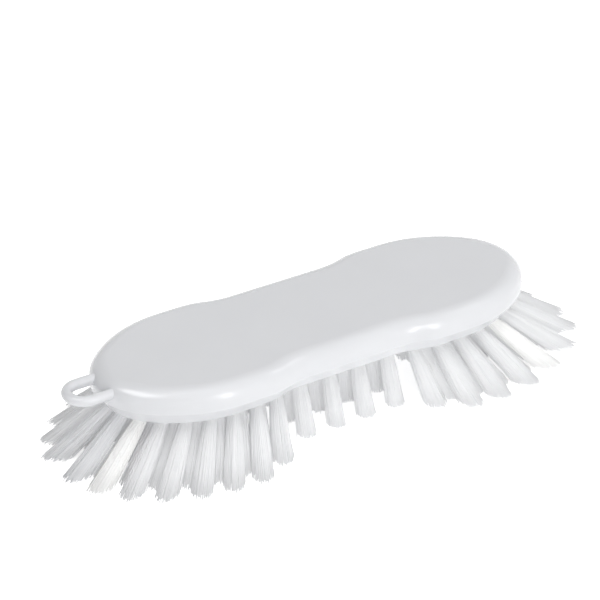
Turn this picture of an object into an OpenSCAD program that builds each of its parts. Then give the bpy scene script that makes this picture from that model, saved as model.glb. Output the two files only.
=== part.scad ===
// Hand scrub brush: a waisted moulded block with a hanging loop, set with tufts
// that fan out all round. +Z is up, X runs along the block, the loop is at -X,
// and the origin is on the surface that the bristle tips stand on, under the
// middle of the block.

/* [Block] */
// Length of the block, end to end
block_len = 200; // [190:1:215]
// Width across the two lobes
lobe_w = 70.6; // [66:0.2:75]
// How far the waist is drawn in on each side
waist_dip = 3.7; // [3.2:0.1:4.1]
// Thickness of the block
block_t = 16; // [15.5:0.5:19]
// How much smaller the radius of the arc round each end is than half the width of a lobe
end_dip = 7.7; // [7:0.1:8.4]
// Length of the straight part of the waist
waist_len = 43; // [37:1:48]

/* [Wall] */
// Radius rolled round the top edge
top_r = 7; // [5.5:0.25:7.75]
// Depth of the mould's parting line below the top face
part_drop = 9.4; // [8.8:0.1:10.6]
// Radius round the bottom edge
foot_r = 1.2; // [0.8:0.1:1.6]

/* [Hanging loop] */
// Diameter of the loop's round bar
loop_bar_d = 4.4; // [4:0.1:4.8]
// Radius of the bend, along the middle of the bar
loop_bend_r = 6.9; // [6.4:0.1:7.6]
// How far the loop reaches past the end of the block
loop_reach = 15; // [13:0.5:16]
// Depth of the bar's middle below the top face
loop_drop = 4.8; // [4.4:0.1:5.4]
// How far the two arms are rooted into the end of the block
loop_root = 6; // [5:0.5:9]

/* [Tuft holes] */
// Diameter of a blind tuft hole
hole_d = 4.2; // [4:0.1:4.5]
// Depth of a tuft hole along its own slant
hole_depth = 10; // [9:0.25:10.5]
// Distance of the outer holes from the edge of the block
rim_inset = 9.3; // [9:0.1:9.8]
// Place of the second row, as a share of the way from the outer row to the middle line
second_share = 0.26; // [0.25:0.005:0.275]
// Place of the third row, as a share of the same way
third_share = 0.57; // [0.56:0.005:0.58]
// Spacing of the outer holes at the nose of a lobe
nose_pitch = 7.8; // [7.6:0.1:8]
// How far the outer row runs on along the shoulder, past the straight side of a lobe
shoulder_lap = 11.1; // [10.7:0.1:11.5]
// Distance of the first tuft of the third row from the middle of the nose, along the row
third_first = 5.6; // [5.3:0.1:5.9]
// Distance of the last tuft of the third row from the end of the straight side
third_gap = 0.7; // [0.2:0.1:1.2]
// How far the middle row of a lobe starts before the straight side
middle_lap = 10; // [9.6:0.1:10.4]
// Distance of the last tuft of the middle row from the middle of the end arc
middle_gap = 8.7; // [8.3:0.1:9.1]
// Distance of the outer waist tufts from the ends of the straight waist
waist_gap = 0.5; // [0.2:0.1:0.8]
// Distance of the outer waist holes from the edge of the waist
waist_inset = 9.2; // [9:0.1:10]

/* [Splay] */
// Length of bristle below the block, down to the trimmed tips
trim = 22; // [20:0.5:25]
// Splay of the outer tufts at the two ends, from upright
end_splay = 50; // [46:1:52]
// Splay of the outer tufts along the sides of the lobes, from upright
side_splay = 41; // [38:1:43]
// How much steeper the second and third rows splay than the outer row's rule gives them
inner_gain = 1.12; // [1:0.02:1.16]
// Splay of the outer tufts along the waist, from upright
waist_splay = 16.5; // [12:0.5:20]
// Share of the splay at which the holes themselves are drilled
hole_share = 0.5; // [0.4:0.02:0.54]

/* [Bristles] */
// Width of a strand where it leaves its hole
strand_root_w = 1.2; // [1:0.05:1.3]
// Width of a strand at its tip
strand_tip_w = 2.4; // [2.1:0.05:2.5]
// Distance of a strand from the middle of its tuft at the tip
tip_spread = 2.5; // [2.3:0.05:2.6]
// Clearance between a tuft's folded root and the wall of its hole
root_fit = 0.1; // [0.05:0.01:0.15]

/* [Anchors] */
// Thickness of the flat wire that a tuft is folded over
anchor_t = 0.5; // [0.4:0.05:0.6]
// Height of the wire along the hole
anchor_h = 1.6; // [1.4:0.1:1.8]
// Height of the wire above the bottom of the hole
anchor_seat = 0.9; // [0.7:0.1:1.2]
// How far each end of the wire bites into the wall of the hole
anchor_bite = 0.5; // [0.3:0.05:0.6]
// Clearance all round the wire
anchor_fit = 0.04; // [0.02:0.01:0.06]

/* [Hidden] */
$fn = 64;
block_white = [0.93, 0.93, 0.94];
bristle_white = [0.96, 0.96, 0.95];
wire_grey = [0.62, 0.63, 0.65];
strands = 4;
strand_sides = 4;
outer_per_side = 8;
second_per_side = 7;
third_per_side = 4;
middle_count = 4;
waist_columns = 4;
waist_rows = 5;
tufts_per_node = 2;
fan_power = 2.6;
side_power = 0.6;
cut = 1;

top_z = trim + block_t;

// The arcs of the outline pass into one another along lines of these directions, whose
// sides and length are whole numbers, so that every arc's middle and radius is exact to
// the thousandth and neighbouring walls join without a step.
end_way = [21, 20];
shoulder_way = [12, 35];
wall_way = [3, 4];
thousandth = 1000;
way_reach = 4;

function whole(way) = round(norm(way));
function exact(value) = round(value * thousandth) / thousandth;

end_r = exact(lobe_w / 2 - end_dip);
end_x = block_len / 2 - end_r;
flank_unit = exact(end_dip / (whole(end_way) - end_way[1]));
flank_r = end_r + flank_unit * whole(end_way);
lobe_half = flank_r - flank_unit * end_way[1];
flank_x = end_x - flank_unit * end_way[0];
end_turn = atan2(end_way[1], end_way[0]);
shoulder_unit = exact(waist_dip / (whole(shoulder_way) - shoulder_way[1]));
waist_half = lobe_half - shoulder_unit * (whole(shoulder_way) - shoulder_way[1]);
shoulder_r = shoulder_unit * whole(shoulder_way) / 2;
shoulder_run = shoulder_unit * shoulder_way[0];
shoulder_in = waist_len / 2;
shoulder_out = shoulder_in + shoulder_run;
shoulder_turn = atan2(shoulder_way[0], shoulder_way[1]);
part_z = block_t - part_drop;
draw_in = part_z * wall_way[0] / wall_way[1];
band_w = 2 * top_r + foot_r;
core_lap = 1;
core_steps = 10;
loop_x = block_len / 2 + loop_reach - loop_bar_d / 2 - loop_bend_r;
loop_z = top_z - loop_drop;
plug_d = hole_d - 2 * root_fit;
anchor_len = hole_d + 2 * anchor_bite;
root_spread = plug_d / 2 - strand_root_w / sqrt(2) - root_fit;
nose_x = block_len / 2 - rim_inset;
lobe_row_y = lobe_half - rim_inset;
second_inset = rim_inset + second_share * lobe_row_y;
third_inset = rim_inset + third_share * lobe_row_y;
waist_row_y = waist_half - waist_inset;
waist_row = 2 * waist_row_y / (waist_rows - 1);
waist_pitch = (waist_len - 2 * waist_gap) / (waist_columns - 1);
middle_first = shoulder_out - middle_lap;
middle_last = end_x - middle_gap;
fan_full_x = shoulder_out + shoulder_run / 4;

// Outline of one quarter of the block, drawn in by a given inset: the end arc, the
// flank arc, the shoulder's two arcs and the middle of the waist.
function arc_points(cx, cy, r, from, to) =
    [for (i = [0 : core_steps]) let (a = from + (to - from) * i / core_steps) [cx + r * cos(a), cy + r * sin(a)]];

function quarter(inset) = concat(
    arc_points(end_x, 0, end_r - inset, 0, end_turn),
    arc_points(flank_x, lobe_half - flank_r, flank_r - inset, end_turn, 90),
    arc_points(shoulder_out, lobe_half - shoulder_r, shoulder_r - inset, 90, 90 + shoulder_turn),
    arc_points(shoulder_in, waist_half + shoulder_r, shoulder_r + inset, 270 + shoulder_turn, 270)
);

function reversed(list) = [for (i = [len(list) - 1 : -1 : 0]) list[i]];

function outline(inset) = let (q = quarter(inset)) concat(
    q,
    [for (p = reversed(q)) [-p[0], p[1]]],
    [for (p = q) [-p[0], -p[1]]],
    [for (p = reversed(q)) [p[0], -p[1]]]
);

// Point at a distance s round a lobe from the middle of its nose, on the line that lies
// a given inset inside the edge. A negative s runs along the front of the lobe.
function end_run(inset) = (end_r - inset) * end_turn * PI / 180;
function flank_len(inset) = (flank_r - inset) * (90 - end_turn) * PI / 180;
function side_len(inset) = flank_x - shoulder_out;

function rim_point(inset, s) =
    let (a = abs(s), s1 = end_run(inset), s2 = s1 + flank_len(inset), s3 = s2 + side_len(inset))
    let (p =
        a < s1 ? turned(end_x, 0, end_r - inset, a * 180 / PI / (end_r - inset)) :
        a < s2 ? turned(flank_x, lobe_half - flank_r, flank_r - inset,
                        end_turn + (a - s1) * 180 / PI / (flank_r - inset)) :
        a < s3 ? [flank_x - (a - s2), lobe_half - inset] :
        turned(shoulder_out, lobe_half - shoulder_r, shoulder_r - inset,
               90 + (a - s3) * 180 / PI / (shoulder_r - inset)))
    [p[0], (s < 0 ? -1 : 1) * p[1]];

function turned(cx, cy, r, a) = [cx + r * cos(a), cy + r * sin(a)];

// Distance from the nose to outer hole k, the first one half a pitch from the middle. The
// pitch grows evenly from the nose to the shoulder.
function row_total(inset) = end_run(inset) + flank_len(inset) + side_len(inset);
function pitch_growth() = 2 * (row_total(rim_inset) + shoulder_lap - nose_pitch * (outer_per_side - 0.5))
    / (outer_per_side * (outer_per_side - 1));
function outer_s(k) = nose_pitch * (k + 0.5) + pitch_growth() * k * (k + 1) / 2;

// The holes of the second row stand between those of the outer row.
function second_s(k) = (outer_s(k) + outer_s(k + 1)) / 2 * row_total(second_inset) / row_total(rim_inset);
function third_s(k) = third_first
    + (row_total(third_inset) - third_gap - third_first) * k / (third_per_side - 1);

// Splay of a tuft as the slope along X and along Y of its middle line. Along X it grows with
// the distance from the middle of the block. Along Y it grows from the waist over the
// shoulder to its full value on the lobe, and eases off towards the line y = 0.
function fan_x(x) = sign(x) * tan(end_splay) * pow(abs(x) / nose_x, fan_power);
function fan_share(x) = sin(90 * max(0, min(1, (abs(x) - shoulder_in) / (fan_full_x - shoulder_in))));
function fan_y(p) = let (waist = tan(waist_splay), lobe = tan(side_splay))
    sign(p[1]) * (waist + (lobe - waist) * fan_share(p[0])) * pow(abs(p[1]) / lobe_row_y, side_power);

// A tuft is held as its hole's place on the underside and its splay.
function lobe_tuft(end, p, gain) = [[end * p[0], p[1]], gain * [end * fan_x(p[0]), fan_y(p)]];
function waist_tuft(p) = [p, [fan_x(p[0]), tan(waist_splay) * p[1] / waist_row_y]];

function both_sides(count) = [for (k = [-count : count - 1]) k];
function mirrored_s(k, s) = k < 0 ? -s : s;
function from_nose(k) = k < 0 ? -k - 1 : k;

function outer_tufts(end) = [for (k = both_sides(outer_per_side))
    lobe_tuft(end, rim_point(rim_inset, mirrored_s(k, outer_s(from_nose(k)))), 1)];
function second_tufts(end) = [for (k = both_sides(second_per_side))
    lobe_tuft(end, rim_point(second_inset, mirrored_s(k, second_s(from_nose(k)))), inner_gain)];
function third_tufts(end) = [for (k = both_sides(third_per_side))
    lobe_tuft(end, rim_point(third_inset, mirrored_s(k, third_s(from_nose(k)))), inner_gain)];
function middle_tufts(end) = [for (k = [0 : middle_count - 1])
    lobe_tuft(end, [middle_first + (middle_last - middle_first) * k / (middle_count - 1), 0], 1)];
function waist_tufts(row) = [for (k = [0 : waist_columns - 1])
    waist_tuft([(k - (waist_columns - 1) / 2) * waist_pitch, row * waist_row])];

// The tufts of one node are neighbours in one row.
function slices(list) = [for (i = [0 : tufts_per_node : len(list) - 1])
    [for (j = [i : min(i + tufts_per_node, len(list)) - 1]) list[j]]];
function named(name, groups) = [for (i = [0 : len(groups) - 1]) [str(name, "_", i + 1), groups[i]]];

function lobe_groups(side, end) = concat(
    named(str(side, "_outer_tufts"), slices(outer_tufts(end))),
    named(str(side, "_second_tufts"), slices(second_tufts(end))),
    named(str(side, "_third_tufts"), slices(third_tufts(end))),
    named(str(side, "_middle_tufts"), slices(middle_tufts(end)))
);

tuft_groups = concat(
    lobe_groups("left", -1),
    lobe_groups("right", 1),
    named("waist_tufts_row", [for (row = [0 : waist_rows - 1]) waist_tufts(row - (waist_rows - 1) / 2)])
);
all_tufts = [for (group = tuft_groups) for (tuft = group[1]) tuft];

// Triangle from the origin that opens between two directions and reaches past what it cuts.
module wedge(from, to) {
    polygon([[0, 0], way_reach * from, way_reach * to]);
}

// Section of the wall, with the outline on the line x = 0 and the block to its right: the
// rolled top edge, the upright band down to the parting line, the wall drawn in below it and
// the small round at its foot.
module wall_section() {
    part = whole(wall_way);
    foot_x = draw_in + foot_r * (part - wall_way[0]) / wall_way[1];
    translate([top_r, block_t - top_r])
        intersection() {
            circle(top_r);
            wedge([0, top_r], [-top_r, 0]);
        }
    translate([foot_x, foot_r])
        intersection() {
            circle(foot_r);
            wedge([-wall_way[1], -wall_way[0]] * foot_r, [0, -part] * foot_r);
        }
    polygon([
        [0, part_z],
        [0, block_t - top_r],
        [top_r, block_t - top_r],
        [top_r, block_t],
        [band_w, block_t],
        [band_w, 0],
        [foot_x, 0],
        [foot_x, foot_r],
        [foot_x - foot_r * wall_way[1] / part, foot_r - foot_r * wall_way[0] / part]
    ]);
}

// Wall round an arc of the outline, between two directions from the arc's middle. It bulges
// outwards, or inwards where hollow is 1.
module arc_wall(cx, cy, r, from, to, hollow = 0) {
    translate([cx, cy, trim])
        intersection() {
            rotate_extrude()
                translate([r, 0])
                    mirror([1 - hollow, 0])
                        wall_section();
            translate([0, 0, -cut])
                linear_extrude(block_t + 2 * cut)
                    wedge(from, to);
        }
}

// Straight wall along X on the +Y side, from x = from to x = to.
module straight_wall(from, to, half) {
    translate([from, half, trim])
        rotate([90, 0, 90])
            linear_extrude(to - from)
                mirror([1, 0])
                    wall_section();
}

module quarter_walls() {
    upright = [0, whole(end_way)];
    arc_wall(flank_x, lobe_half - flank_r, flank_r, end_way, upright);
    straight_wall(shoulder_out, flank_x, lobe_half);
    arc_wall(shoulder_out, lobe_half - shoulder_r, shoulder_r, upright, [-shoulder_way[0], shoulder_way[1]]);
    arc_wall(shoulder_in, waist_half + shoulder_r, shoulder_r, [shoulder_way[0], -shoulder_way[1]], -upright, 1);
}

module block_body() {
    for (mx = [0, 1], my = [0, 1])
        mirror([mx, 0, 0])
            mirror([0, my, 0])
                quarter_walls();
    for (mx = [0, 1])
        mirror([mx, 0, 0])
            arc_wall(end_x, 0, end_r, [end_way[0], -end_way[1]], end_way);
    for (my = [0, 1])
        mirror([0, my, 0])
            straight_wall(-shoulder_in, shoulder_in, waist_half);
    translate([0, 0, trim])
        linear_extrude(block_t)
            polygon(outline(band_w - core_lap));
}

// U of round bar, moulded in one with the block at its left end.
module hanging_loop() {
    arm_start = block_len / 2 - loop_root;
    translate([-loop_x, 0, loop_z])
        rotate([0, 0, 90])
            rotate_extrude(angle = 180)
                translate([loop_bend_r, 0])
                    circle(d = loop_bar_d);
    for (side = [-1, 1])
        translate([-loop_x, side * loop_bend_r, loop_z])
            rotate([0, 90, 0])
                cylinder(d = loop_bar_d, h = loop_x - arm_start);
}

// Frame of a hole: the origin at its mouth on the underside, +Z up into the block.
module at_hole(tuft) {
    slope = hole_share * tuft[1];
    translate([tuft[0][0], tuft[0][1], trim])
        rotate([0, -atan(norm(slope)), atan2(slope[1], slope[0])])
            children();
}

function hole_tilt(tuft) = atan(norm(hole_share * tuft[1]));
function mouth_rise(tuft) = hole_d / 2 * tan(hole_tilt(tuft));

module tuft_hole(tuft) {
    at_hole(tuft)
        translate([0, 0, -mouth_rise(tuft) - cut])
            cylinder(d = hole_d, h = hole_depth + mouth_rise(tuft) + cut);
}

// Flat wire across the bottom of a hole, and the slot that it cuts for itself.
module anchor_wire(tuft, room) {
    at_hole(tuft)
        translate([0, 0, hole_depth - anchor_seat - anchor_h / 2])
            cube([anchor_len + 2 * room, anchor_t + 2 * room, anchor_h + 2 * room], center = true);
}

module block() {
    color(block_white)
        difference() {
            union() {
                block_body();
                hanging_loop();
            }
            for (tuft = all_tufts) {
                tuft_hole(tuft);
                anchor_wire(tuft, anchor_fit);
            }
        }
}

module tuft_anchors() {
    color(wire_grey)
        for (tuft = all_tufts)
            anchor_wire(tuft, 0);
}

// Corner i of strand k of a tuft, at a height z above the standing plane, where the strand
// has a given distance from the tuft's middle line and a given width.
function middle_at(tuft, z) = z > trim
    ? [each tuft[0] - hole_share * tuft[1] * (z - trim), z]
    : [each tuft[0] + tuft[1] * (trim - z), z];
function corner(tuft, k, i, z, spread, width) =
    let (lean = atan2(tuft[1][1], tuft[1][0]))
    let (a = lean + 360 * (k + 0.5) / strands, b = lean + 360 * (i + 0.5) / strand_sides)
    middle_at(tuft, z) + [
        spread * cos(a) + width / sqrt(2) * cos(b),
        spread * sin(a) + width / sqrt(2) * sin(b),
        0
    ];

// One strand: it rises into the folded root, leaves the hole along it, and fans out to a tip
// that is cut flat on the plane the brush stands on.
module strand(tuft, k) {
    in_z = trim + (2 * mouth_rise(tuft) + cut) * cos(hole_tilt(tuft));
    rings = concat(
        [for (i = [0 : strand_sides - 1]) corner(tuft, k, i, in_z, root_spread, strand_root_w)],
        [for (i = [0 : strand_sides - 1]) corner(tuft, k, i, trim, root_spread, strand_root_w)],
        [for (i = [0 : strand_sides - 1]) corner(tuft, k, i, 0, tip_spread, strand_tip_w)]
    );
    n = strand_sides;
    sides = [for (r = [0, 1], i = [0 : n - 1]) let (j = (i + 1) % n)
        each [[r * n + i, r * n + j, r * n + n + i], [r * n + j, r * n + n + j, r * n + n + i]]];
    caps = [for (i = [1 : n - 2]) each [[0, i + 1, i], [2 * n, 2 * n + i, 2 * n + i + 1]]];
    polyhedron(rings, concat(sides, caps));
}

// One tuft: its root, folded over the wire and packed tight in the hole, and the strands
// that fan out from it.
module tuft_body(tuft) {
    set_in = mouth_rise(tuft) + cut / 2;
    difference() {
        at_hole(tuft)
            translate([0, 0, set_in])
                cylinder(d = plug_d, h = hole_depth - set_in);
        anchor_wire(tuft, anchor_fit);
    }
    for (k = [0 : strands - 1])
        strand(tuft, k);
}

module tuft_group(tufts) {
    color(bristle_white)
        for (tuft = tufts)
            tuft_body(tuft);
}

block();
tuft_anchors();
for (group = tuft_groups)
    tuft_group(group[1]);
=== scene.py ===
import math
import bpy
import numpy as np
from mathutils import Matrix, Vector


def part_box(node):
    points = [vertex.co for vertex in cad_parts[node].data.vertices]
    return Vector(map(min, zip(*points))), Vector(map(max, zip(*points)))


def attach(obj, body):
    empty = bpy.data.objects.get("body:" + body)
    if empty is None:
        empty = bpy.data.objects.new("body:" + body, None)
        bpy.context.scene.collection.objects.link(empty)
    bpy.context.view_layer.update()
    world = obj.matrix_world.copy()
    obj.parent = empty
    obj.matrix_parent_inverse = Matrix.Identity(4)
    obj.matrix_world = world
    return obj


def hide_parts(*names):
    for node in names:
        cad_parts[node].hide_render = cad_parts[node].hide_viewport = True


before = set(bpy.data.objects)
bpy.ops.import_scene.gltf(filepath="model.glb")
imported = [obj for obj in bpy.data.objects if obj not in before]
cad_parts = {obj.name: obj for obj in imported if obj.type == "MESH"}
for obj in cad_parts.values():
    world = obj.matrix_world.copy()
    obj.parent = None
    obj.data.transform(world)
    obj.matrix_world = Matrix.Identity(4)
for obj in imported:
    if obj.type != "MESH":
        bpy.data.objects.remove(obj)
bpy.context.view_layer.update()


# Table top and studio: the brush stands on its bristle tips on a wide white sheet that runs
# out of sight, seen from above and from its left front corner. A broad soft lamp hangs over
# it, another stands low in front and a weaker one at its right. Three more lamps only glint.
view_target = Vector((-0.00057, 0.00852, 0.038))
view_turn = math.radians(-32.87)
view_lift = math.radians(29.46)
view_distance = 1.0963
film_width = 36.0
lens_length = 160.88
out_of_sight = 60.0


def direction(turn, lift):
    """Unit vector from the brush: turn runs from the front to the right, lift upwards."""
    flat = math.cos(lift)
    return Vector((math.sin(turn) * flat, -math.cos(turn) * flat, math.sin(lift)))


view_back = direction(view_turn, view_lift)
camera_data = bpy.data.cameras.new("photo_camera")
camera_data.sensor_width = film_width
camera_data.lens = lens_length
camera_data.clip_end = out_of_sight
camera = bpy.data.objects.new("photo_camera", camera_data)
camera.location = view_target + view_back * view_distance
camera.rotation_euler = view_back.to_track_quat("Z", "Y").to_euler()
bpy.context.scene.collection.objects.link(camera)
bpy.context.scene.camera = camera
bpy.context.scene.view_settings.view_transform = "Standard"


def new_material(name):
    """An empty node material with its output, ready for its shader."""
    material = bpy.data.materials.new(name)
    material.use_nodes = True
    material.node_tree.nodes.clear()
    output = material.node_tree.nodes.new("ShaderNodeOutputMaterial")
    return material, material.node_tree.nodes, material.node_tree.links, output


def set_sockets(node, **values):
    """Plain values for a node's sockets, named with underscores for spaces."""
    for name, value in values.items():
        node.inputs[name.replace("_", " ")].default_value = value


sheet_reach = 6.0
sheet_white = (0.80, 0.80, 0.80, 1)
lit_from_below = 0.56
seen_glow = 0.62
sheet_mesh = bpy.data.meshes.new("white_sheet")
sheet_mesh.from_pydata(
    [(x * sheet_reach, y * sheet_reach, 0) for x, y in ((-1, -1), (1, -1), (1, 1), (-1, 1))],
    [],
    [(0, 1, 2, 3)],
)
white_sheet = bpy.data.objects.new("white_sheet", sheet_mesh)
bpy.context.scene.collection.objects.link(white_sheet)
sheet_material, nodes, links, output = new_material("white_sheet")


def glowing_white(nodes, links, glow):
    """A white surface that also gives off some light of its own."""
    white = nodes.new("ShaderNodeBsdfDiffuse")
    set_sockets(white, Color=sheet_white)
    light = nodes.new("ShaderNodeEmission")
    set_sockets(light, Strength=glow)
    both = nodes.new("ShaderNodeAddShader")
    links.new(white.outputs[0], both.inputs[0])
    links.new(light.outputs[0], both.inputs[1])
    return both.outputs[0]


def seen_directly(nodes, links):
    """1 where the eye, a reflection or a see-through surface looks at the surface, else 0."""
    path = nodes.new("ShaderNodeLightPath")
    seen = path.outputs["Is Camera Ray"]
    for way in ("Is Glossy Ray", "Is Transmission Ray"):
        either = nodes.new("ShaderNodeMath")
        either.operation = "MAXIMUM"
        links.new(seen, either.inputs[0])
        links.new(path.outputs[way], either.inputs[1])
        seen = either.outputs[0]
    return seen


pick = nodes.new("ShaderNodeMixShader")
links.new(seen_directly(nodes, links), pick.inputs[0])
links.new(glowing_white(nodes, links, lit_from_below), pick.inputs[1])
links.new(glowing_white(nodes, links, seen_glow), pick.inputs[2])
links.new(pick.outputs[0], output.inputs["Surface"])
sheet_mesh.materials.append(sheet_material)

surround_light = 0.08
surround_tint = (0.97, 0.98, 1.0, 1)
wall_light = 1.0
wall_white = (1, 1, 1, 1)
world = bpy.data.worlds.new("studio")
world.use_nodes = True
bpy.context.scene.world = world
nodes, links = world.node_tree.nodes, world.node_tree.links
nodes.clear()
surround = nodes.new("ShaderNodeBackground")
set_sockets(surround, Color=surround_tint, Strength=surround_light)
white_wall = nodes.new("ShaderNodeBackground")
set_sockets(white_wall, Color=wall_white, Strength=wall_light)
pick = nodes.new("ShaderNodeMixShader")
links.new(seen_directly(nodes, links), pick.inputs[0])
links.new(surround.outputs[0], pick.inputs[1])
links.new(white_wall.outputs[0], pick.inputs[2])
links.new(pick.outputs[0], nodes.new("ShaderNodeOutputWorld").inputs["Surface"])

lamp_aim = Vector((0, 0, 0.02))


def softbox(name, turn, lift, distance, width, height, watts, glint=False):
    """A rectangular lamp that faces the brush: a broad soft one, or one that only glints."""
    lamp = bpy.data.lights.new(name, "AREA")
    lamp.shape = "RECTANGLE"
    lamp.size = width
    lamp.size_y = height
    lamp.energy = watts
    stand = bpy.data.objects.new(name, lamp)
    back = direction(math.radians(turn), math.radians(lift))
    stand.location = lamp_aim + back * distance
    stand.rotation_euler = back.to_track_quat("Z", "Y").to_euler()
    stand.visible_glossy = glint
    stand.visible_diffuse = not glint
    bpy.context.scene.collection.objects.link(stand)


softbox("front_softbox", turn=-20, lift=15, distance=2.2, width=1.2, height=0.9, watts=18.5)
softbox("low_side_softbox", turn=60, lift=15, distance=2.2, width=1.2, height=0.9, watts=9.5)
softbox("overhead_softbox", turn=0, lift=80, distance=2.0, width=1.4, height=1.4, watts=34.0)
softbox("front_glint", turn=11, lift=24, distance=2.2, width=0.36, height=1.2, watts=9.0, glint=True)
softbox("side_glint", turn=71, lift=49, distance=2.2, width=0.2, height=0.6, watts=2.0, glint=True)
softbox("end_glint", turn=-86, lift=56, distance=2.2, width=1.5, height=0.9, watts=20.0, glint=True)


# Block: the waisted body with its hanging loop, injection moulded in one shot from white
# polypropylene. The skin is smooth with a soft sheen, very finely grained by the mould, and
# a little uneven where the thick plastic shrank as it cooled.
def skin_grain():
    """Fine grain over slow unevenness, as a normal, with a mask of the same grain."""
    group = bpy.data.node_groups.new("skin_grain", "ShaderNodeTree")
    sockets = group.interface
    for name, value in (
        ("Grain scale", 900.0),
        ("Grain depth", 0.00002),
        ("Wave scale", 20.0),
        ("Wave depth", 0.0001),
    ):
        made = sockets.new_socket(name, in_out="INPUT", socket_type="NodeSocketFloat")
        made.default_value = value
    sockets.new_socket("Normal", in_out="OUTPUT", socket_type="NodeSocketVector")
    sockets.new_socket("Grain", in_out="OUTPUT", socket_type="NodeSocketFloat")
    nodes, links = group.nodes, group.links
    given = nodes.new("NodeGroupInput")
    result = nodes.new("NodeGroupOutput")
    place = nodes.new("ShaderNodeTexCoord")
    normal = None
    for kind, detail in (("Grain", 3.0), ("Wave", 1.0)):
        texture = nodes.new("ShaderNodeTexNoise")
        set_sockets(texture, Detail=detail)
        links.new(place.outputs["Object"], texture.inputs["Vector"])
        links.new(given.outputs[kind + " scale"], texture.inputs["Scale"])
        bump = nodes.new("ShaderNodeBump")
        links.new(texture.outputs["Fac"], bump.inputs["Height"])
        links.new(given.outputs[kind + " depth"], bump.inputs["Distance"])
        if kind == "Grain":
            links.new(texture.outputs["Fac"], result.inputs["Grain"])
        else:
            links.new(normal, bump.inputs["Normal"])
        normal = bump.outputs["Normal"]
    links.new(normal, result.inputs["Normal"])
    return group


grain_group = skin_grain()


def place_grain(nodes, grain_scale, grain_depth, wave_scale, wave_depth):
    """The skin's grain placed in a material with its own sizes."""
    placed = nodes.new("ShaderNodeGroup")
    placed.node_tree = grain_group
    set_sockets(
        placed,
        Grain_scale=grain_scale,
        Grain_depth=grain_depth,
        Wave_scale=wave_scale,
        Wave_depth=wave_depth,
    )
    return placed


def tone_ramp(nodes, links, source, low, high):
    """Colour between two shades by a source that runs from 0 to 1."""
    ramp = nodes.new("ShaderNodeValToRGB")
    ramp.color_ramp.elements[0].color = (*low, 1)
    ramp.color_ramp.elements[1].color = (*high, 1)
    links.new(source, ramp.inputs["Fac"])
    return ramp.outputs["Color"]


def spread(nodes, links, source, low, high):
    """Value between two limits by a source that runs from 0 to 1."""
    mapped = nodes.new("ShaderNodeMapRange")
    set_sockets(mapped, To_Min=low, To_Max=high)
    links.new(source, mapped.inputs["Value"])
    return mapped.outputs["Result"]


skin_darker = (0.635, 0.642, 0.662)
skin_lighter = (0.665, 0.672, 0.690)
skin_smoothest = 0.18
skin_roughest = 0.30
block_material, nodes, links, output = new_material("white_polypropylene")
skin = nodes.new("ShaderNodeBsdfPrincipled")
set_sockets(
    skin,
    IOR=1.49,
    Subsurface_Weight=0.12,
    Subsurface_Radius=(1.0, 0.95, 0.9),
    Subsurface_Scale=0.002,
    Coat_Weight=0.3,
    Coat_Roughness=0.09,
)
grain = place_grain(
    nodes, grain_scale=1400.0, grain_depth=0.00002, wave_scale=26.0, wave_depth=0.00035
)
clouds = nodes.new("ShaderNodeTexNoise")
set_sockets(clouds, Scale=34.0, Detail=4.0)
where = nodes.new("ShaderNodeTexCoord")
links.new(where.outputs["Object"], clouds.inputs["Vector"])
clouded = clouds.outputs["Fac"]
links.new(tone_ramp(nodes, links, clouded, skin_darker, skin_lighter), skin.inputs["Base Color"])
links.new(spread(nodes, links, clouded, skin_smoothest, skin_roughest), skin.inputs["Roughness"])
links.new(grain.outputs["Normal"], skin.inputs["Normal"])
links.new(skin.outputs[0], output.inputs["Surface"])
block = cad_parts["block"]
block.data.materials.clear()
block.data.materials.append(block_material)


# Anchors: short lengths of flat drawn steel wire, each pressed across the bottom of a tuft
# hole so that it bites into the plastic and holds the fold of its tuft. They lie inside.
wire_darker = (0.40, 0.41, 0.42)
wire_lighter = (0.62, 0.63, 0.64)
wire_smoothest = 0.25
wire_roughest = 0.5
wire_material, nodes, links, output = new_material("drawn_steel_wire")
wire = nodes.new("ShaderNodeBsdfPrincipled")
set_sockets(wire, Metallic=1.0)
grain = place_grain(
    nodes, grain_scale=4000.0, grain_depth=0.00001, wave_scale=300.0, wave_depth=0.00002
)
drawn = grain.outputs["Grain"]
links.new(tone_ramp(nodes, links, drawn, wire_darker, wire_lighter), wire.inputs["Base Color"])
links.new(spread(nodes, links, drawn, wire_smoothest, wire_roughest), wire.inputs["Roughness"])
links.new(grain.outputs["Normal"], wire.inputs["Normal"])
links.new(wire.outputs[0], output.inputs["Surface"])
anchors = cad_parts["tuft_anchors"]
anchors.data.materials.clear()
anchors.data.materials.append(wire_material)


# Tufts: bundles of stiff white filaments, doubled over their wire and packed tight in their
# holes. Below the block each bundle opens out, leans away from the middle, and is trimmed
# flat on the plane that the brush stands on. Its root and its tip are read from its solid.
# filament colours from darkest to brightest: a filament's place between them is partly random and
# partly painted shade and painted highlight, set per tuft
darkest_filament = (0.70, 0.71, 0.74)
brightest_filament = (0.97, 0.97, 0.96)
light_through = (0.82, 0.82, 0.82, 1)
through_share = 0.12
filament_smoothest = 0.22
filament_roughest = 0.42
filament_grain_depth = 0.00002
bristle_material, nodes, links, output = new_material("white_bristle")
hair = nodes.new("ShaderNodeBsdfPrincipled")
set_sockets(hair, IOR=1.5)
tone = nodes.new("ShaderNodeAttribute")
tone.attribute_name = "filament_tone"
links.new(
    tone_ramp(nodes, links, tone.outputs["Fac"], darkest_filament, brightest_filament),
    hair.inputs["Base Color"],
)
links.new(
    spread(nodes, links, tone.outputs["Fac"], filament_smoothest, filament_roughest),
    hair.inputs["Roughness"],
)
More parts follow.
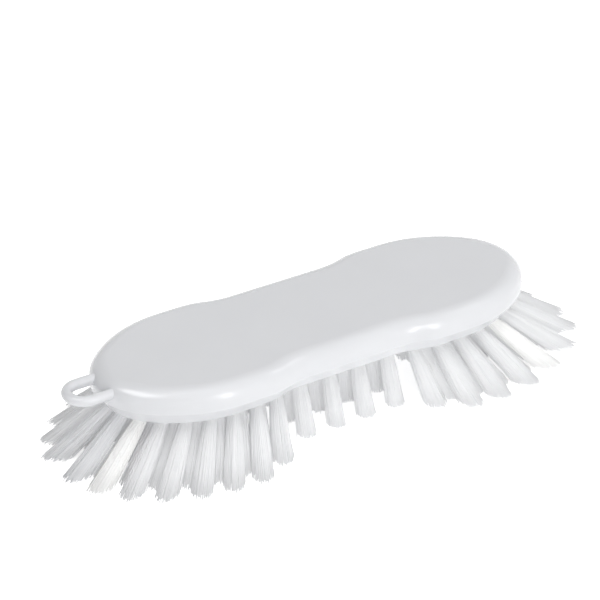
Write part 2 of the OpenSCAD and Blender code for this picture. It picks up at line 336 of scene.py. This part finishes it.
# packed filaments catch the light as one soft bundle more than one by one
bundle_share = 0.35
outward = nodes.new("ShaderNodeAttribute")
outward.attribute_name = "out_of_bundle"
facing = nodes.new("ShaderNodeNewGeometry")
leaning = nodes.new("ShaderNodeMix")
leaning.data_type = "VECTOR"
set_sockets(leaning, Factor=bundle_share)
links.new(facing.outputs["Normal"], leaning.inputs["A"])
links.new(outward.outputs["Vector"], leaning.inputs["B"])
smooth = nodes.new("ShaderNodeVectorMath")
smooth.operation = "NORMALIZE"
links.new(leaning.outputs["Result"], smooth.inputs[0])
grain = place_grain(
    nodes, grain_scale=2600.0, grain_depth=0.00002, wave_scale=180.0, wave_depth=0.00004
)
fine = nodes.new("ShaderNodeBump")
set_sockets(fine, Distance=filament_grain_depth)
links.new(grain.outputs["Grain"], fine.inputs["Height"])
links.new(smooth.outputs["Vector"], fine.inputs["Normal"])
links.new(fine.outputs["Normal"], hair.inputs["Normal"])
through = nodes.new("ShaderNodeBsdfTranslucent")
set_sockets(through, Color=light_through)
both = nodes.new("ShaderNodeMixShader")
both.inputs[0].default_value = through_share
links.new(hair.outputs[0], both.inputs[1])
links.new(through.outputs[0], both.inputs[2])
# a clear filament hardly shades the one behind it
light_let_by = 0.96
path = nodes.new("ShaderNodeLightPath")
share = nodes.new("ShaderNodeMath")
share.operation = "MULTIPLY"
share.inputs[1].default_value = light_let_by
links.new(path.outputs["Is Shadow Ray"], share.inputs[0])
clear = nodes.new("ShaderNodeBsdfTransparent")
seen = nodes.new("ShaderNodeMixShader")
links.new(share.outputs[0], seen.inputs[0])
links.new(both.outputs[0], seen.inputs[1])
links.new(clear.outputs[0], seen.inputs[2])
links.new(seen.outputs[0], output.inputs["Surface"])

micron = 1e-6
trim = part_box("block")[0].z


def tufts_of(node):
    """Root and tip of each tuft of a node, from the corners of its solids on two levels."""
    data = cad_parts[node].data
    corners = np.array([v.co for v in data.vertices])
    key = np.round(corners / micron).astype(int)
    same, index = np.unique(key, axis=0, return_inverse=True)
    index = index.ravel()
    owner = list(range(len(same)))

    def root_of(i):
        while owner[i] != i:
            owner[i] = owner[owner[i]]
            i = owner[i]
        return i

    for face in data.polygons:
        first = root_of(index[face.vertices[0]])
        for v in face.vertices[1:]:
            owner[root_of(index[v])] = first
    found = {}
    for i, point in enumerate(same * micron):
        found.setdefault(root_of(i), []).append(point)
    tufts = []
    for points in found.values():
        points = np.array(points)
        at_root = points[abs(points[:, 2] - trim) < 2 * micron]
        at_tip = points[abs(points[:, 2]) < 2 * micron]
        if len(at_root) and len(at_tip):
            tufts.append((at_root.mean(0)[:2], at_tip.mean(0)[:2]))
    return tufts


lobe_middle = 0.054
waist_end = 0.024
waist_to_lobe = 0.008
# degrees from the nose of a lobe towards its front, and what use has done to the tufts there:
# degrees of turn, and metres in or out
left_turns = ((-20, 15, 60, 110), (0, -4, -5, -7))
left_reaches = ((10, 25, 40), (-0.003, -0.002, 0))
right_turns = ((-15, 20, 40, 80), (0, -7, -6.5, -1.5))
right_reaches = ((-40, -5, 15, 30, 45, 90), (0, 0.001, 0.003, 0.005, 0.002, 0))


def combed(tip):
    """Where a tuft's tip stands after use, turned and drawn round the middle of its lobe."""
    side = -1 if tip[0] < 0 else 1
    middle = np.array([side * lobe_middle, 0.0])
    arm = tip - middle
    reach = np.linalg.norm(arm)
    from_nose = math.degrees(math.atan2(-arm[1], side * arm[0]))
    if side < 0:
        turn = np.interp(from_nose, *left_turns)
        drawn = np.interp(abs(from_nose), *left_reaches)
    else:
        turn = np.interp(from_nose, *right_turns)
        drawn = np.interp(from_nose, *right_reaches)
    lobe = min(1.0, max(0.0, (abs(tip[0]) - waist_end) / waist_to_lobe))
    angle = math.radians(from_nose + turn * lobe)
    reach += drawn * lobe
    return middle + reach * np.array([side * math.cos(angle), -math.sin(angle)])


filaments_per_tuft = 170
filament_radius = 0.0002
filament_sides = 4
thinnest, thickest = 0.88, 1.12
ring_heights = np.array([-0.12, 0.0, 0.10, 0.34, 0.66, 1.0])
hole_radius = 0.0019
hole_share = 0.5
golden_angle = 2.39996
full_turn = 6.28
packing_scatter = 0.03
# how much wider a bundle is just below its hole, and how much more it flares to its tip
waist_opening, waist_flare = 0.0013, 0.0006
lobe_opening, lobe_flare = 0.0008, 0.0018
opening_length = 0.09
first_lean = 0.93
shortest_cut, longest_cut = 0.0001, 0.0009
stray_share = 0.25
stray_distance = 0.0004
chance = np.random.default_rng(4210)


def unit(vectors):
    """Rows of vectors at length one."""
    return vectors / np.linalg.norm(vectors, axis=1)[:, None]


def filaments(root, tip, waist):
    """Ring points of one tuft's filaments, and the way out of the bundle at each filament."""
    n = filaments_per_tuft
    lean = (tip - root) / trim
    tilt = math.atan(np.linalg.norm(lean))
    way = lean / max(np.linalg.norm(lean), 1e-9)
    # an even scatter over the bundle's section, on a sunflower spiral
    k = np.arange(n) + 0.5
    out = np.sqrt(k / n)
    round_ = k * golden_angle + chance.uniform(0, full_turn)
    disc = np.stack([out * np.cos(round_), out * np.sin(round_)], 1)
    disc = disc + chance.normal(0, packing_scatter, disc.shape)
    stretch = 1 / math.cos(tilt) - 1
    disc_low = disc + np.outer(disc @ way, way) * stretch
    opening, flare = (waist_opening, waist_flare) if waist else (lobe_opening, lobe_flare)
    end_height = chance.uniform(shortest_cut, longest_cut, n)
    stray = chance.normal(0, stray_distance, (n, 2)) * (chance.random((n, 1)) < stray_share)
    rings = np.zeros((n, len(ring_heights), 3))
    for r, t in enumerate(ring_heights):
        down = max(t, 0.0)
        radius = hole_radius + opening * (1 - math.exp(-down / opening_length)) + flare * down
        if t < 0:
            middle = root + lean * hole_share * trim * t
            height = np.full(n, trim * (1 - t))
        else:
            middle = root + lean * trim * t * (first_lean + (1 - first_lean) * t)
            height = trim - (trim - end_height) * t
        rings[:, r, :2] = middle + disc_low * radius + stray * down * down
        rings[:, r, 2] = height
    path = unit(rings[:, -1] - rings[:, 1])
    across = np.cross(path, np.array([0.0, 0.0, 1.0]) + way[0] * 1e-3)
    across[np.linalg.norm(across, axis=1) < 1e-4] = (1, 0, 0)
    across = unit(across)
    other = np.cross(path, across)
    spin = chance.uniform(0, full_turn, n)
    thick = filament_radius * chance.uniform(thinnest, thickest, n)
    shape = np.zeros((n, len(ring_heights), filament_sides, 3))
    for s in range(filament_sides):
        a = spin + 2 * math.pi * s / filament_sides
        edge = (across * np.cos(a)[:, None] + other * np.sin(a)[:, None]) * thick[:, None]
        shape[:, :, s] = rings + edge[:, None]
    drop = (shape[:, -1, :, 2] - end_height[:, None]) / path[:, None, 2]
    shape[:, -1] -= path[:, None] * drop[..., None]
    return shape, unit(np.concatenate([disc, np.zeros((n, 1))], 1))


tone_scatter = 0.14


def filament_mesh(name, bundles, shades):
    """One mesh of all the filaments of a node, with a tone for each filament: its tuft's tone plus
    random scatter, with painted shade on the tufts past the loop and a painted highlight on two
    tufts.
    """
    shape = np.concatenate([shape for shape, outward in bundles])
    outward = np.concatenate([outward for shape, outward in bundles])
    n, rings, sides = shape.shape[:3]
    mesh = bpy.data.meshes.new(name)
    start = (np.arange(n) * rings * sides)[:, None, None]
    r = (np.arange(rings - 1) * sides)[None, :, None]
    s = np.arange(sides)[None, None]
    after = (s + 1) % sides
    quads = np.stack([
        start + r + s, start + r + after, start + r + sides + after, start + r + sides + s
    ], -1).reshape(-1, 4)
    ends = start[:, 0] + (rings - 1) * sides + np.arange(sides)
    mesh.from_pydata(shape.reshape(-1, 3).tolist(), [], quads.tolist() + ends.tolist())
    tone = np.repeat(shades, filaments_per_tuft) + tone_scatter * chance.random(n)
    tone = np.repeat(tone, rings * sides)
    mesh.attributes.new("filament_tone", "FLOAT", "POINT").data.foreach_set("value", tone)
    outward = np.repeat(outward, rings * sides, axis=0)
    mesh.attributes.new("out_of_bundle", "FLOAT_VECTOR", "POINT").data.foreach_set(
        "vector", outward.ravel()
    )
    mesh.polygons.foreach_set("use_smooth", np.arange(len(mesh.polygons)) < len(quads))
    mesh.materials.append(bristle_material)
    mesh.update()
    return mesh


# two tufts get a painted highlight: a brighter tone for the gloss they catch
painted_highlight_tips = ((-0.110, -0.023), (0.088, -0.039))
painted_highlight_within = 0.003
loop_end = -0.112
painted_highlight_tone, usual_shade, painted_shade_tone = 0.86, 0.36, 0.2


def shade_of(tip):
    """Tone of a tuft from 0 to 1: painted shade past the loop's end, a painted highlight on two
    tufts, the usual tone elsewhere.
    """
    if min(math.dist(tip, place) for place in painted_highlight_tips) < painted_highlight_within:
        return painted_highlight_tone
    # tufts past the loop's end get painted shade: a greyer tone for the shade they stand in
    return painted_shade_tone if tip[0] < loop_end else usual_shade


for node in sorted(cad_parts):
    if "_tufts_" not in node:
        continue
    name = node + "_filaments"
    tufts = tufts_of(node)
    bundles = [filaments(root, combed(tip), node.startswith("waist")) for root, tip in tufts]
    mesh = filament_mesh(name, bundles, [shade_of(tip) for root, tip in tufts])
    bundle = bpy.data.objects.new(name, mesh)
    bpy.context.scene.collection.objects.link(bundle)
    # light that has bounced about gets in between the filaments
    bundle.visible_diffuse = False
    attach(bundle, "root")
    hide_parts(node)
